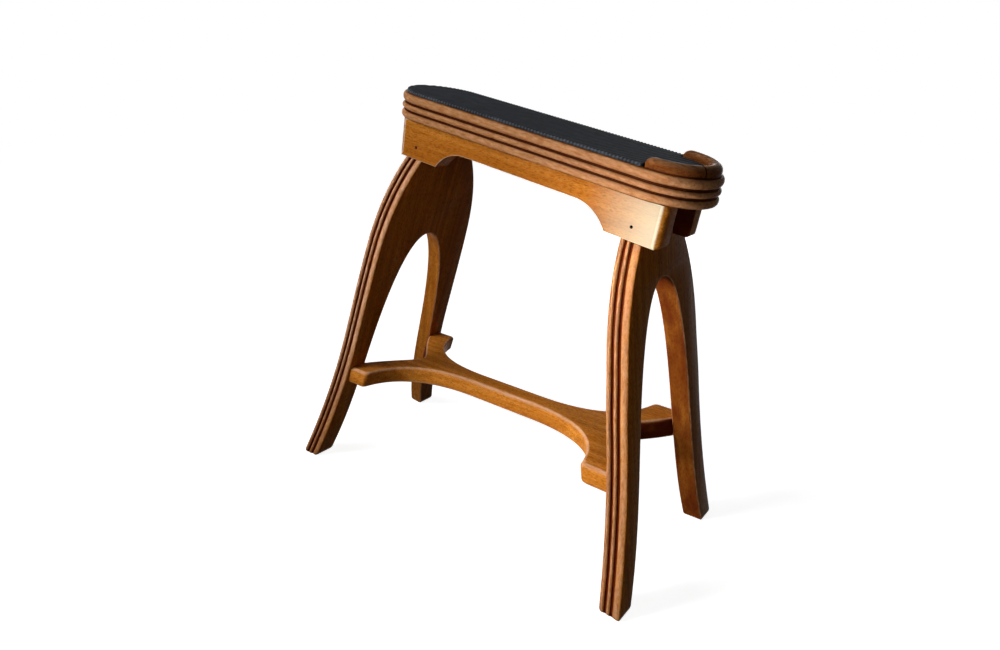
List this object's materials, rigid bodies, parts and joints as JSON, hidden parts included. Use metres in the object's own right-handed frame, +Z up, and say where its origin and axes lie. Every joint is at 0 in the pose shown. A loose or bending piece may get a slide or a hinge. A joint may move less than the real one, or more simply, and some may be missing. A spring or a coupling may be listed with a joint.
{
  "type": "shoe shine footrest",
  "caption": "Free-standing wooden footrest for shoe shining: a sloping, round-ended, rubber-covered board with a raised heel stop, carried on reeded wishbone leg frames and a forked stretcher.",
  "frame": {"origin": "on the floor, under the middle of the bounding box", "axes": "+X towards the heel stop, the low end of the board; +Y towards the left side; +Z up"},
  "size_m": [0.5102, 0.2316, 0.4976],
  "materials": {
    "top_wood": "satin varnish, worn light on the crests",
    "frame_wood": "satin varnish",
    "mat_rubber": "matte, finely ribbed",
    "pin_steel": "dull, darkened",
    "screw_steel": "dull",
    "dowel_wood": "bare"
  },
  "bodies": {
    "root": {"top_board": "top_wood", "heel_stop_left": "top_wood", "heel_stop_front": "top_wood", "heel_stop_right": "top_wood", "rubber_mat": "mat_rubber", "apron_left": "frame_wood", "apron_right": "frame_wood", "rear_leg_frame": "frame_wood", "front_leg_frame": "frame_wood", "stretcher": "frame_wood", "apron_pin_front_left": "pin_steel", "apron_pin_front_right": "pin_steel", "apron_pin_rear_left": "pin_steel", "apron_pin_rear_right": "pin_steel", "top_screw_front_left": "screw_steel", "top_screw_front_right": "screw_steel", "top_screw_middle_left": "screw_steel", "top_screw_middle_right": "screw_steel", "top_screw_rear_left": "screw_steel", "top_screw_rear_right": "screw_steel", "heel_stop_screw_1": "screw_steel", "heel_stop_screw_2": "screw_steel", "heel_stop_screw_3": "screw_steel", "heel_stop_screw_4": "screw_steel", "heel_stop_screw_5": "screw_steel", "stretcher_dowel_front_left": "dowel_wood", "stretcher_dowel_front_right": "dowel_wood", "stretcher_dowel_rear_left": "dowel_wood", "stretcher_dowel_rear_right": "dowel_wood"}
  },
  "joints": []
}
